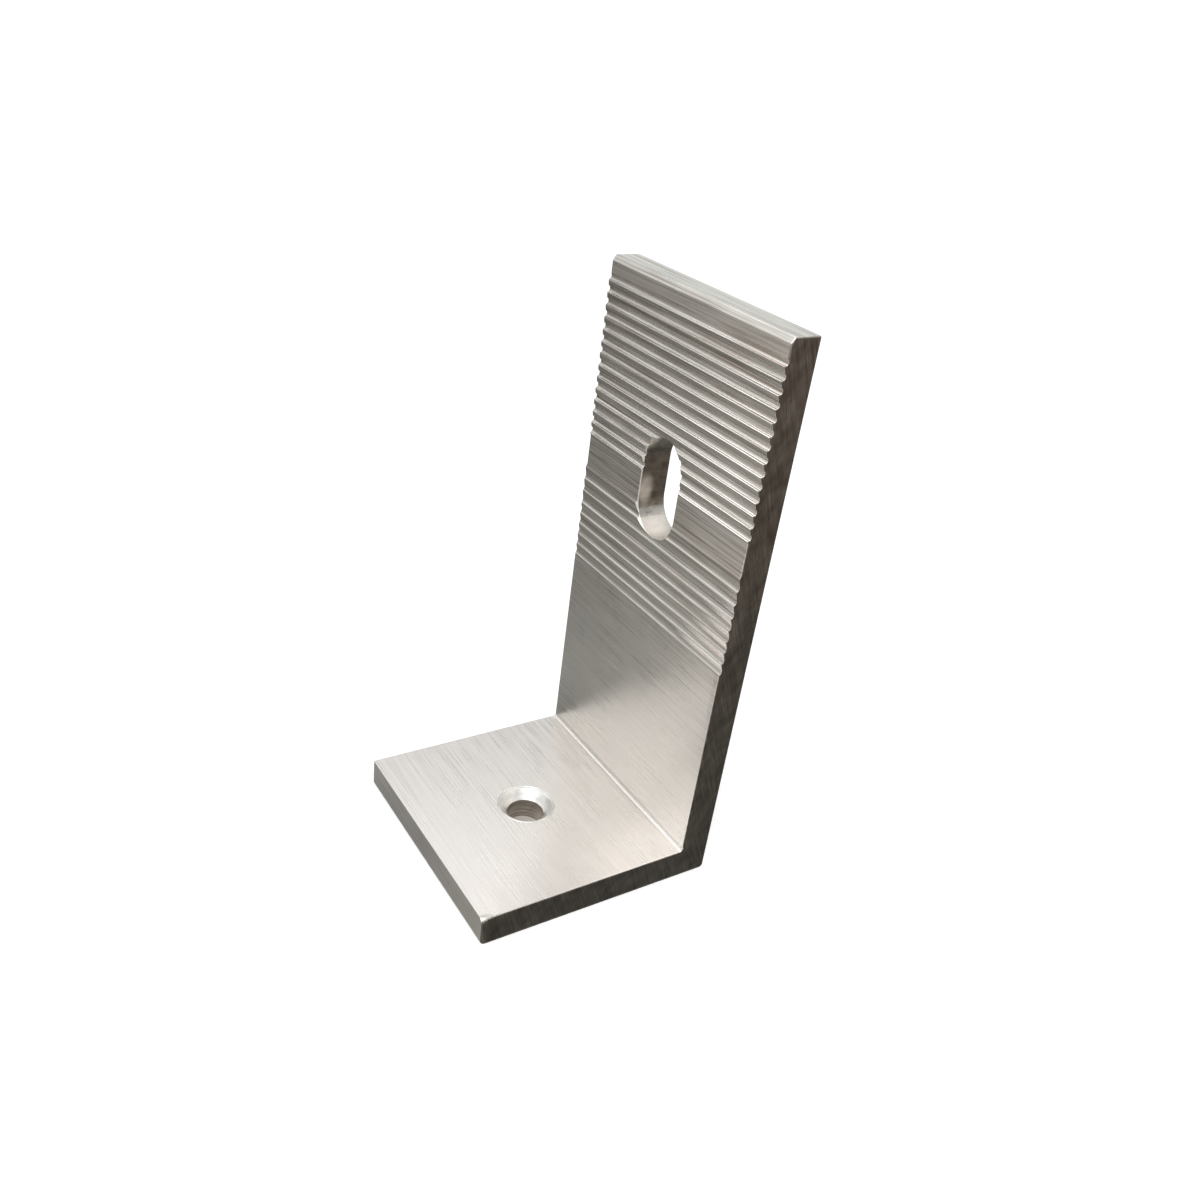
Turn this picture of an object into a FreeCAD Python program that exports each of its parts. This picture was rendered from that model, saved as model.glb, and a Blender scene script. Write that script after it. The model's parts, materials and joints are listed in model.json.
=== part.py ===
import FreeCAD, Part
import math
import os
import Sketcher

# An L-shaped foot cut from an aluminium extrusion: a short base with a countersunk screw hole, and a tall
# upright with a slot for the clamping bolt. The inner face of the upright has two bands of teeth, which stop
# what is bolted to it from slipping down. It is one solid piece.
# X runs from the free edge of the base to the back of the upright, Y along the extrusion, and Z up. The
# origin is on the underside, in the middle of the base.

# Driving sizes, in millimetres and degrees
sizes = {
    # The extruded L
    "base_length": 40.0,
    "clamp_width": 40.0,
    "upright_height": 86.0,
    "base_thickness": 5.0,
    "upright_thickness": 5.0,
    # Roundings of the extrusion's long edges
    "inner_corner_round": 0.8,
    "heel_round": 0.7,
    "free_edge_bottom_round": 0.8,
    "top_front_slope_rise": 0.8,
    "top_front_slope_run": 0.55,
    "top_back_round": 0.3,
    # The strip above the teeth and the gap between the bands lie a little behind the crests
    "top_strip_height": 3.6,
    "top_strip_relief": 0.3,
    "band_gap": 5.66,
    "gap_relief": 0.2,
    "relief_ramp": 0.4,
    # Upper band of teeth
    "upper_pitch": 1.8,
    "upper_groove_count": 14,
    "upper_groove_radius": 0.5,
    "upper_groove_depth": 0.5,
    "upper_back_depth": 0.21,
    # Lower band, shallower, where the first teeth from the top stand farther apart
    "wide_pitch": 2.08,
    "wide_groove_count": 3,
    "close_pitch": 1.84,
    "close_groove_count": 5,
    "lower_groove_radius": 0.85,
    "lower_groove_depth": 0.3,
    "lower_back_depth": 0.25,
    # Narrow flat on every crest
    "crest_land": 0.08,
    # Bolt slot, which sits a little above the middle of the gap and a little to the far side
    "slot_width": 9.0,
    "slot_length": 15.2,
    "slot_above_gap_middle": 1.4,
    "slot_side_shift": 0.8,
    # Countersunk screw hole
    "hole_to_free_edge": 18.0,
    "hole_diameter": 5.9,
    "countersink_diameter": 8.4,
    "countersink_angle": 76.0,
    "countersink_lip_round": 1.0,
}

document = FreeCAD.newDocument("LClamp")
sheet = document.addObject("Spreadsheet::Sheet", "Sizes")
for row, (alias, value) in enumerate(sizes.items(), start=1):
    sheet.set(f"A{row}", alias)
    sheet.set(f"B{row}", str(value))
    sheet.setAlias(f"B{row}", alias)
document.recompute()

# Places worked out from the driving sizes. The teeth hang from the top edge, and the slot from the gap.
free_edge = "-Sizes.base_length / 2"
back_face = "Sizes.base_length / 2"
inner_face = f"{back_face} - Sizes.upright_thickness"
strip_face = f"{inner_face} + Sizes.top_strip_relief"
gap_face = f"{inner_face} + Sizes.gap_relief"
top_edge = "Sizes.upright_height"
top_crest = f"{top_edge} - Sizes.top_strip_height"
upper_low_crest = f"{top_crest} - (Sizes.upper_groove_count - 1) * Sizes.upper_pitch"
lower_top_crest = f"{upper_low_crest} - Sizes.band_gap"
wide_low_crest = f"{lower_top_crest} - Sizes.wide_groove_count * Sizes.wide_pitch"
close_low_crest = f"{wide_low_crest} - Sizes.close_groove_count * Sizes.close_pitch"
slot_middle = f"{upper_low_crest} - Sizes.band_gap / 2 + Sizes.slot_above_gap_middle"
hole_place = f"{free_edge} + Sizes.hole_to_free_edge"

body = document.addObject("PartDesign::Body", "LClamp")
body.Label = "l_clamp"


def number(expression):
    """Returns the present value of an expression."""
    return float(sheet.evalExpression(expression))


def point(across, up):
    """Returns the point of a sketch that two expressions give."""
    return FreeCAD.Vector(number(across), number(up), 0)


def origin_feature(role):
    """Returns the body's own origin plane or axis with this role."""
    return next(feature for feature in body.Origin.OriginFeatures if feature.Role == role)


def new_sketch(name, plane):
    """Returns an empty sketch on one of the body's origin planes."""
    sketch = body.newObject("Sketcher::SketchObject", name)
    sketch.AttachmentSupport = [(origin_feature(plane), "")]
    sketch.MapMode = "FlatFace"
    return sketch


def bind(sketch, kind, where, expression):
    """Adds a dimension to a sketch and binds it to an expression."""
    index = sketch.addConstraint(Sketcher.Constraint(kind, *where, number(expression)))
    sketch.setExpression(f"Constraints[{index}]", expression)


def fix_point(sketch, geometry, end, across, up):
    """Holds one end of a line or arc at a place given by two expressions."""
    bind(sketch, "DistanceX", (-1, 1, geometry, end), across)
    bind(sketch, "DistanceY", (-1, 1, geometry, end), up)


def draw_outline(sketch, corners, arc_corner=None, arc_centre=None, arc_radius=None):
    """Draws a closed outline through corners, each a pair of expressions.

    The sides are straight, but the one that leaves the corner arc_corner is an arc, turned anticlockwise
    about arc_centre.
    """
    for index, corner in enumerate(corners):
        start = point(*corner)
        finish = point(*corners[(index + 1) % len(corners)])
        if index == arc_corner:
            centre = point(*arc_centre)
            first = math.atan2(start.y - centre.y, start.x - centre.x)
            last = math.atan2(finish.y - centre.y, finish.x - centre.x)
            circle = Part.Circle(centre, FreeCAD.Vector(0, 0, 1), number(arc_radius))
            sketch.addGeometry(Part.ArcOfCircle(circle, first, last))
        else:
            sketch.addGeometry(Part.LineSegment(start, finish))
    for index, corner in enumerate(corners):
        following = (index + 1) % len(corners)
        sketch.addConstraint(Sketcher.Constraint("Coincident", index, 2, following, 1))
        fix_point(sketch, index, 1, *corner)
    if arc_corner is not None:
        bind(sketch, "Radius", (arc_corner,), arc_radius)


def cut_through(name, sketch):
    """Cuts a sketch through the body to both sides, and makes sure that material went."""
    before = body.Shape.Volume
    pocket = body.newObject("PartDesign::Pocket", name)
    pocket.Profile = sketch
    pocket.Type = "ThroughAll"
    pocket.SideType = "Symmetric"
    document.recompute()
    assert body.Shape.Volume < before, f"{name} cuts nothing"
    return pocket


def round_edge(name, across, up, radius):
    """Rounds the long edge that runs along Y through this place of the profile."""
    base = body.Tip
    place = FreeCAD.Vector(number(across), 0, number(up))
    distances = [edge.CenterOfMass.distanceToPoint(place) for edge in base.Shape.Edges]
    fillet = body.newObject("PartDesign::Fillet", name)
    fillet.Base = (base, [f"Edge{distances.index(min(distances)) + 1}"])
    fillet.setExpression("Radius", f"Sizes.{radius}")
    document.recompute()


def cut_teeth(name, low_crest, pitch, count, band):
    """Cuts a band of equal grooves into the inner face, upwards from the crest at its lower end.

    Each groove is an arc that starts on its lower crest, goes in to the groove's depth and comes back part of
    the way, and a straight back that leans out to the crest above. A narrow land is left on every crest.
    """
    radius = f"Sizes.{band}_groove_radius"
    depth = f"Sizes.{band}_groove_depth"
    back_depth = f"Sizes.{band}_back_depth"
    low = f"{low_crest} + Sizes.crest_land"
    high = f"{low_crest} + Sizes.{pitch}"
    outside = f"{inner_face} - {depth}"
    # the arc's centre lies in front of the inner face by what its radius has over the groove's depth
    setback = f"({radius} - {depth})"
    middle = f"{low} + sqrt({radius} ^ 2 - {setback} ^ 2)"
    back_start = f"{middle} + sqrt({radius} ^ 2 - ({setback} + {back_depth}) ^ 2)"
    sketch = new_sketch(f"{name}Profile", "XZ_Plane")
    draw_outline(sketch, [
        (inner_face, low),
        (f"{inner_face} + {back_depth}", back_start),
        (inner_face, high),
        (outside, high),
        (outside, low),
    ], 0, (f"{inner_face} - {setback}", middle), radius)
    groove = cut_through(f"{name}Groove", sketch)
    before = body.Shape.Volume
    pattern = body.newObject("PartDesign::LinearPattern", f"{name}Teeth")
    pattern.Originals = [groove]
    pattern.Direction = (origin_feature("Z_Axis"), [""])
    pattern.Mode = "Spacing"
    pattern.setExpression("Offset", f"Sizes.{pitch}")
    pattern.setExpression("Occurrences", f"Sizes.{count}")
    body.Tip = pattern
    document.recompute()
    assert body.Shape.Volume < before, f"{name} grooves are not repeated"


# The extruded L
profile = new_sketch("LProfile", "XZ_Plane")
draw_outline(profile, [
    (free_edge, "0"),
    (back_face, "0"),
    (back_face, top_edge),
    (inner_face, top_edge),
    (inner_face, "Sizes.base_thickness"),
    (free_edge, "Sizes.base_thickness"),
])
extrusion = body.newObject("PartDesign::Pad", "Extrusion")
extrusion.Profile = profile
extrusion.SideType = "Symmetric"
extrusion.setExpression("Length", "Sizes.clamp_width")
document.recompute()

# Relief of the strip above the teeth, which starts inside the topmost groove, and the slope at its top
strip_start = f"{top_crest} + Sizes.upper_pitch / 2"
slope_top = f"{strip_face} + Sizes.top_front_slope_run"
strip = new_sketch("TopStripProfile", "XZ_Plane")
draw_outline(strip, [
    (f"{inner_face} - Sizes.top_strip_relief", strip_start),
    (strip_face, strip_start),
    (strip_face, f"{top_edge} - Sizes.top_front_slope_rise"),
    (slope_top, top_edge),
    (slope_top, f"{top_edge} + Sizes.top_strip_relief"),
    (f"{inner_face} - Sizes.top_strip_relief", f"{top_edge} + Sizes.top_strip_relief"),
])
cut_through("TopStripRelief", strip)

# Relief of the gap between the bands, with a ramp at each end
gap = new_sketch("BandGapProfile", "XZ_Plane")
gap_low = f"{lower_top_crest} + Sizes.crest_land"
draw_outline(gap, [
    (f"{inner_face} - Sizes.gap_relief", gap_low),
    (inner_face, gap_low),
    (gap_face, f"{gap_low} + Sizes.relief_ramp"),
    (gap_face, f"{upper_low_crest} - Sizes.relief_ramp"),
    (inner_face, upper_low_crest),
    (f"{inner_face} - Sizes.gap_relief", upper_low_crest),
])
cut_through("BandGapRelief", gap)

# Roundings of the long edges
round_edge("InnerCornerRound", inner_face, "Sizes.base_thickness", "inner_corner_round")
round_edge("HeelRound", back_face, "0", "heel_round")
round_edge("FreeEdgeBottomRound", free_edge, "0", "free_edge_bottom_round")
round_edge("TopBackRound", back_face, top_edge, "top_back_round")

# Teeth
cut_teeth("Upper", upper_low_crest, "upper_pitch", "upper_groove_count", "upper")
cut_teeth("LowerWide", wide_low_crest, "wide_pitch", "wide_groove_count", "lower")
cut_teeth("LowerClose", close_low_crest, "close_pitch", "close_groove_count", "lower")

# Bolt slot through the upright, with round ends
slot = new_sketch("SlotProfile", "YZ_Plane")
slot_radius = "Sizes.slot_width / 2"
slot_reach = "(Sizes.slot_length - Sizes.slot_width) / 2"
slot_left = f"Sizes.slot_side_shift - {slot_radius}"
slot_right = f"Sizes.slot_side_shift + {slot_radius}"
slot_low = f"{slot_middle} - {slot_reach}"
slot_high = f"{slot_middle} + {slot_reach}"
for centre_height, first_angle in ((slot_high, 0), (slot_low, math.pi)):
    centre = point("Sizes.slot_side_shift", centre_height)
    circle = Part.Circle(centre, FreeCAD.Vector(0, 0, 1), number(slot_radius))
    slot.addGeometry(Part.ArcOfCircle(circle, first_angle, first_angle + math.pi))
slot.addGeometry(Part.LineSegment(point(slot_left, slot_high), point(slot_left, slot_low)))
slot.addGeometry(Part.LineSegment(point(slot_right, slot_low), point(slot_right, slot_high)))
slot.addConstraint(Sketcher.Constraint("Tangent", 0, 2, 2, 1))
slot.addConstraint(Sketcher.Constraint("Tangent", 2, 2, 1, 1))
slot.addConstraint(Sketcher.Constraint("Tangent", 1, 2, 3, 1))
slot.addConstraint(Sketcher.Constraint("Tangent", 3, 2, 0, 1))
bind(slot, "Radius", (0,), slot_radius)
fix_point(slot, 0, 3, "Sizes.slot_side_shift", slot_high)
fix_point(slot, 1, 3, "Sizes.slot_side_shift", slot_low)
cut_through("BoltSlot", slot)

# Countersunk screw hole through the base, with a rounded lip
hole_centre = new_sketch("ScrewHoleCentre", "XY_Plane")
hole_centre.setExpression("AttachmentOffset.Base.z", "Sizes.base_thickness")
hole_radius = "Sizes.hole_diameter / 2"
mouth = Part.Circle(point(hole_place, "0"), FreeCAD.Vector(0, 0, 1), number(hole_radius))
hole_centre.addGeometry(mouth)
bind(hole_centre, "Radius", (0,), hole_radius)
bind(hole_centre, "DistanceX", (-1, 1, 0, 3), hole_place)
hole_centre.addConstraint(Sketcher.Constraint("PointOnObject", 0, 3, -1))
document.recompute()
before_hole = body.Shape.Volume
screw_hole = body.newObject("PartDesign::Hole", "ScrewHole")
screw_hole.Profile = hole_centre
screw_hole.ThreadType = "None"
screw_hole.DepthType = "ThroughAll"
screw_hole.DrillPoint = "Flat"
screw_hole.HoleCutType = "Countersink"
screw_hole.HoleCutCustomValues = True
screw_hole.setExpression("Diameter", "Sizes.hole_diameter")
screw_hole.setExpression("HoleCutDiameter", "Sizes.countersink_diameter")
screw_hole.setExpression("HoleCutCountersinkAngle", "Sizes.countersink_angle")
document.recompute()
assert body.Shape.Volume < before_hole, "the screw hole cuts nothing"

rim_centre = FreeCAD.Vector(number(hole_place), 0, number("Sizes.base_thickness"))
rim_distances = [edge.CenterOfMass.distanceToPoint(rim_centre) for edge in screw_hole.Shape.Edges]
lip = body.newObject("PartDesign::Fillet", "CountersinkLip")
lip.Base = (screw_hole, [f"Edge{rim_distances.index(min(rim_distances)) + 1}"])
lip.setExpression("Radius", "Sizes.countersink_lip_round")
document.recompute()

# Nothing is written unless every feature and the solid itself are sound
for item in document.Objects:
    failed = {"Invalid", "Error"} & set(item.State)
    assert not failed, f"{item.Name}: {item.State}"
    if item.TypeId == "Sketcher::SketchObject":
        assert item.solve() == 0, f"{item.Name} has no solution"
shape = body.Shape
assert not shape.isNull(), "the body is empty"
assert shape.isValid(), "the body is not a sound solid"
assert len(shape.Solids) == 1, "the clamp is not one piece"

os.makedirs("parts", exist_ok=True)
shape.exportStep(f"parts/{body.Label}.step")
box = shape.BoundBox
print(f"{body.Label}: volume {shape.Volume / 1000:.3f} cm3")
print(f"X {box.XMin:.2f} to {box.XMax:.2f}, Y {box.YMin:.2f} to {box.YMax:.2f}, Z {box.ZMin:.2f} to {box.ZMax:.2f}")
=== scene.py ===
import json
import math
import bpy
from mathutils import Matrix, Vector


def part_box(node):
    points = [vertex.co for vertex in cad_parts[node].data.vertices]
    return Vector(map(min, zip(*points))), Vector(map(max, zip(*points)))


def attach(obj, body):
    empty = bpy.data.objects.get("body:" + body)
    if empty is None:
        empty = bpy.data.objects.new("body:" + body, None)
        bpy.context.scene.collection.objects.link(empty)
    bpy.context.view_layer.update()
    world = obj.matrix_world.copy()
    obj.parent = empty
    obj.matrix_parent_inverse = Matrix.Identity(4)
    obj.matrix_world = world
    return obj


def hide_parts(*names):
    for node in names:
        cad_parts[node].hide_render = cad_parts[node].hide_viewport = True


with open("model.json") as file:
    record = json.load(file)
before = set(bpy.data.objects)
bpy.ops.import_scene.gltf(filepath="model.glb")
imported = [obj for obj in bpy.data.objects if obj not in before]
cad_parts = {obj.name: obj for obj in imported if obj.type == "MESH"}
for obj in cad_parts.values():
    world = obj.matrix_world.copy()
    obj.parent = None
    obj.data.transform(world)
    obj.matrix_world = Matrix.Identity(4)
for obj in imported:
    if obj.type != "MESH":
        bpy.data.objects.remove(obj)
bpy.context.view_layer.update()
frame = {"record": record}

mm = 0.001
clampLow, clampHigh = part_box("l_clamp")
mounts = {mount["name"]: mount for mount in frame["record"]["mounts"]}


# Helpers for node trees of every kind

nodeSpacing = 190


# puts a value into a socket, or links another node's socket to it
def plug(tree, value, socket):
    if isinstance(value, bpy.types.NodeSocket):
        tree.links.new(value, socket)
    else:
        socket.default_value = value


# adds a node, sets its options and fills its inputs, which are given by name or number
def addNode(tree, kind, inputs=None, **options):
    node = tree.nodes.new(kind)
    node.location.x = nodeSpacing * len(tree.nodes)
    for option, value in options.items():
        setattr(node, option, value)
    for name, value in (inputs or {}).items():
        plug(tree, value, node.inputs[name])
    return node


# the first output of a new node
def result(tree, kind, inputs=None, **options):
    return addNode(tree, kind, inputs, **options).outputs[0]


# a math node's result
def calc(tree, operation, first, second=0.0, third=0.0):
    return result(tree, "ShaderNodeMath", {0: first, 1: second, 2: third}, operation=operation)


# a vector math node's result
def vectorCalc(tree, operation, first, second=(0.0, 0.0, 0.0), scale=1.0):
    given = {0: first}
    if operation == "SCALE":
        given["Scale"] = scale
    elif operation not in ("LENGTH", "NORMALIZE"):
        given[1] = second
    node = addNode(tree, "ShaderNodeVectorMath", given, operation=operation)
    return node.outputs["Value" if operation in ("DOT_PRODUCT", "LENGTH") else "Vector"]


# a point from three numbers or sockets
def pointOf(tree, x=0.0, y=0.0, z=0.0):
    return result(tree, "ShaderNodeCombineXYZ", {0: x, 1: y, 2: z})


# the X, Y and Z of a point
def partsOf(tree, point):
    return addNode(tree, "ShaderNodeSeparateXYZ", {0: point}).outputs


# chooses between two numbers by a share from 0 to 1
def blendOf(tree, share, first, second):
    return result(tree, "ShaderNodeMix", {"Factor": share, 2: first, 3: second})


# how far a value has come from a start to where it counts in full, from 0 to 1
def shareOf(tree, value, start, full, **options):
    return result(tree, "ShaderNodeMapRange", {
        "Value": value, "From Min": start, "From Max": full}, **options)


def objectPlace(tree):
    return addNode(tree, "ShaderNodeTexCoord").outputs["Object"]


# starts a group with named inputs and outputs, each with the kind of its socket
def newGroup(name, kind, inputs, outputs):
    tree = bpy.data.node_groups.new(name, kind)
    for sockets, direction in ((inputs, "INPUT"), (outputs, "OUTPUT")):
        for label, socketKind in sockets.items():
            tree.interface.new_socket(label, in_out=direction, socket_type="NodeSocket" + socketKind)
    start = tree.nodes.new("NodeGroupInput")
    end = tree.nodes.new("NodeGroupOutput")
    return tree, {socket.name: socket for socket in start.outputs if socket.name}, end


# The finishes: shader groups for grain, worn edges with painted highlights and painted shade in the grooves,
# and a material for each way of working

# A layer of grain has its size in millimetres along X, Y and Z, a turn in degrees, and how much it changes
# the tone, the roughness and, in millimetres, the height of the surface. A stain colours the highest grain,
# more and more from the first of its heights to the second; a stain colour above 1 is painted light. A spot
# is painted light: it lightens the surface around a place, and roughens it. The lines are the direction the
# tool ran in; without one it ran around the Z axis.
finishes = {
    "brushed": {
        "color": (0.803, 0.769, 0.734), "roughness": 0.31, "anisotropic": 0.55, "lines": (0.0, 1.0, 0.0),
        "edgeRadius": 0.08, "edgeWearAndHighlightTone": 0.22, "grooveShadeTone": -0.7,
        "layers": [
            {"size": (0.17, 11.0, 0.17), "turn": (0.3, 0.0, 0.2), "detail": 1.0,
             "tone": 0.05, "rough": 0.05, "height": 0.003},
            {"size": (0.42, 22.0, 0.42), "turn": (-0.3, 0.0, -0.4), "detail": 1.0,
             "tone": 0.04, "rough": 0.03, "height": 0.0045},
            {"size": (4.0, 9.0, 5.0), "turn": (0.0, 0.0, 0.0), "detail": 2.0,
             "tone": 0.03, "rough": 0.04, "height": 0.0},
        ],
        "stainsAndPaintedLight": [
            {"size": (0.22, 13.0, 0.22), "seed": 4.0, "spread": (0.0, 0.9), "heights": (20.0, 44.0),
             "color": (0.70, 0.665, 0.63)},
            {"size": (0.5, 34.0, 0.5), "seed": 9.0, "spread": (0.35, 1.0), "heights": (20.0, 60.0),
             "color": (0.62, 0.54, 0.48)},
            {"size": (0.15, 60.0, 0.15), "seed": 6.0, "spread": (0.1, 0.8), "heights": (36.0, 42.0),
             "color": (0.60, 0.575, 0.55)},
            # painted light: a colour above 1 lightens the top face
            {"size": (9.0, 90.0, 9.0), "seed": 2.0, "spread": (-9.0, -8.0), "heights": (85.15, 85.3),
             "color": (1.08, 1.08, 1.06)},
        ],
        "paintedLightSpots": [
            {"place": (11.0, -20.0, 5.0), "size": (18.0, 13.0, 1.6), "tone": 0.18, "rough": 0.0},
            {"place": (15.0, -22.0, 74.0), "size": (8.0, 22.0, 24.0), "tone": 0.08, "rough": 0.0},
            {"place": (15.0, 0.0, 61.0), "size": (9.0, 60.0, 30.0), "tone": 0.12, "rough": -0.09},
        ],
    },
    "sawn": {
        # the dark sawn colour is partly the dull saw cut and partly painted shade on the ends
        "color": (0.30, 0.272, 0.243), "roughness": 0.42, "anisotropic": 0.3, "lines": (0.35, 0.0, 1.0),
        "edgeRadius": 0.12, "edgeWearAndHighlightTone": 0.25, "grooveShadeTone": 0.0,
        "layers": [
            {"size": (0.22, 0.3, 6.0), "turn": (0.0, 20.0, 0.0), "detail": 3.0,
             "tone": 0.22, "rough": 0.12, "height": 0.012},
            {"size": (1.6, 1.6, 3.2), "turn": (0.0, -35.0, 0.0), "detail": 3.0,
             "tone": 0.22, "rough": 0.08, "height": 0.01},
        ],
        "stainsAndPaintedLight": [],
        "paintedLightSpots": [],
    },
    "milled": {
        "color": (0.44, 0.41, 0.375), "roughness": 0.30, "anisotropic": 0.3, "lines": (1.0, 0.0, 0.0),
        "edgeRadius": 0.2, "edgeWearAndHighlightTone": 0.35, "grooveShadeTone": 0.0,
        "layers": [
            {"size": (5.0, 0.7, 0.7), "turn": (0.0, 0.0, 0.0), "detail": 2.0,
             "tone": 0.12, "rough": 0.06, "height": 0.008},
            {"size": (2.0, 1.5, 1.5), "turn": (0.0, 0.0, 0.0), "detail": 3.0,
             "tone": 0.3, "rough": 0.08, "height": 0.01},
        ],
        "stainsAndPaintedLight": [],
        "paintedLightSpots": [
            {"place": (16.3, 5.3, 55.6), "size": (1.9, 2.5, 3.4), "tone": 1.3, "rough": 0.3},
            {"place": (16.5, 1.0, 49.8), "size": (4.0, 6.0, 2.6), "tone": 0.8, "rough": 0.15},
            {"place": (15.6, 4.2, 63.8), "size": (1.6, 2.6, 2.2), "tone": 1.2, "rough": 0.4},
        ],
    },
    "drilled": {
        "color": (0.75, 0.74, 0.715), "roughness": 0.40, "anisotropic": 0.4, "lines": None,
        "edgeRadius": 0.05, "edgeWearAndHighlightTone": 0.10, "grooveShadeTone": 0.0,
        "layers": [
            {"size": (30.0, 30.0, 0.35), "turn": (0.0, 0.0, 0.0), "detail": 1.0,
             "tone": 0.06, "rough": 0.05, "height": 0.005},
            {"size": (1.1, 1.1, 0.6), "turn": (0.0, 0.0, 0.0), "detail": 3.0,
             "tone": 0.12, "rough": 0.08, "height": 0.012},
        ],
        "stainsAndPaintedLight": [
            # darker and warmer below 3.25 mm, deeper in the hole
            {"size": (9.0, 9.0, 9.0), "seed": 3.0, "spread": (-9.0, -8.0), "heights": (3.45, 3.25),
             "color": (0.80, 0.72, 0.66)},
            {"size": (9.0, 9.0, 0.22), "seed": 1.0, "spread": (-0.1, 0.7), "heights": (3.45, 3.25),
             "color": (0.58, 0.53, 0.50)},
        ],
        "paintedLightSpots": [
            {"place": (-2.0, 0.0, 1.0), "size": (6.0, 6.0, 2.6), "tone": 0.45, "rough": 0.0},
            {"place": (0.9, -0.5, 1.0), "size": (1.8, 2.6, 2.6), "tone": 0.45, "rough": 0.1},
        ],
    },
}
# A range says where an effect starts and where it is full.
patterns = {
    "inMillimetres": 1000.0,  # turns Object coordinates into millimetres
    "noiseRoughness": 0.6,
    "noiseRange": (0.25, 0.75),
    "layerSeed": (7.3, 3.1, 5.7),
    "tintDetail": 1.0,
    "lightSpotRange": (1.0, 0.3),
    "wearAndHighlightRange": (0.995, 0.8),
    "wearAndHighlightSamples": 6,
    "grooveShadeRange": (0.54, 0.3),
    "grooveShadeReach": 0.45 * mm,
    "grooveShadeSamples": 8,
}


# grain lines: noise that is drawn out along one direction by three sizes in millimetres
def makeGrainGroup():
    tree, given, end = newGroup(
        "metalGrain", "ShaderNodeTree",
        {"Size": "Vector", "Turn": "Vector", "Detail": "Float", "Seed": "Vector"}, {"Value": "Float"})
    turned = result(tree, "ShaderNodeMapping", {
        "Vector": objectPlace(tree), "Rotation": given["Turn"], "Scale": (patterns["inMillimetres"],) * 3})
    drawn = vectorCalc(tree, "DIVIDE", turned, given["Size"])
    moved = vectorCalc(tree, "ADD", drawn, given["Seed"])
    noise = result(tree, "ShaderNodeTexNoise", {
        "Vector": moved, "Scale": 1.0, "Detail": given["Detail"], "Roughness": patterns["noiseRoughness"]})
    # spread to the whole range from -1 to 1, so that a layer's numbers are the change it makes
    low, high = patterns["noiseRange"]
    spread = result(tree, "ShaderNodeMapRange", {
        "Value": noise, "From Min": low, "From Max": high, "To Min": -1.0, "To Max": 1.0}, clamp=False)
    plug(tree, spread, end.inputs[0])
    return tree


# how near an edge is, from how far a small bevel would turn the surface; the mask lightens edges for wear
# and for a painted highlight
def makeWearAndHighlightGroup():
    tree, given, end = newGroup("edgeWearAndHighlight", "ShaderNodeTree", {"Radius": "Float", "Normal": "Vector"},
                                {"Mask": "Float", "Normal": "Vector"})
    samples = patterns["wearAndHighlightSamples"]
    rounded = result(tree, "ShaderNodeBevel", given, samples=samples)
    plain = result(tree, "ShaderNodeBevel", {"Radius": given["Radius"]}, samples=samples)
    flat = addNode(tree, "ShaderNodeNewGeometry").outputs["Normal"]
    likeness = vectorCalc(tree, "DOT_PRODUCT", plain, flat)
    plug(tree, shareOf(tree, likeness, *patterns["wearAndHighlightRange"]), end.inputs["Mask"])
    plug(tree, rounded, end.inputs["Normal"])
    return tree


# how deep in a groove a place lies, from how much of its surroundings the clamp itself covers, for the
# painted shade in the grooves
def makeGrooveShadeGroup():
    tree, given, end = newGroup("paintedGrooveShade", "ShaderNodeTree", {"Reach": "Float"}, {"Mask": "Float"})
    around = addNode(tree, "ShaderNodeAmbientOcclusion", {"Distance": given["Reach"]},
                     samples=patterns["grooveShadeSamples"], only_local=True)
    plug(tree, shareOf(tree, around.outputs["AO"], *patterns["grooveShadeRange"]), end.inputs[0])
    return tree
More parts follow.
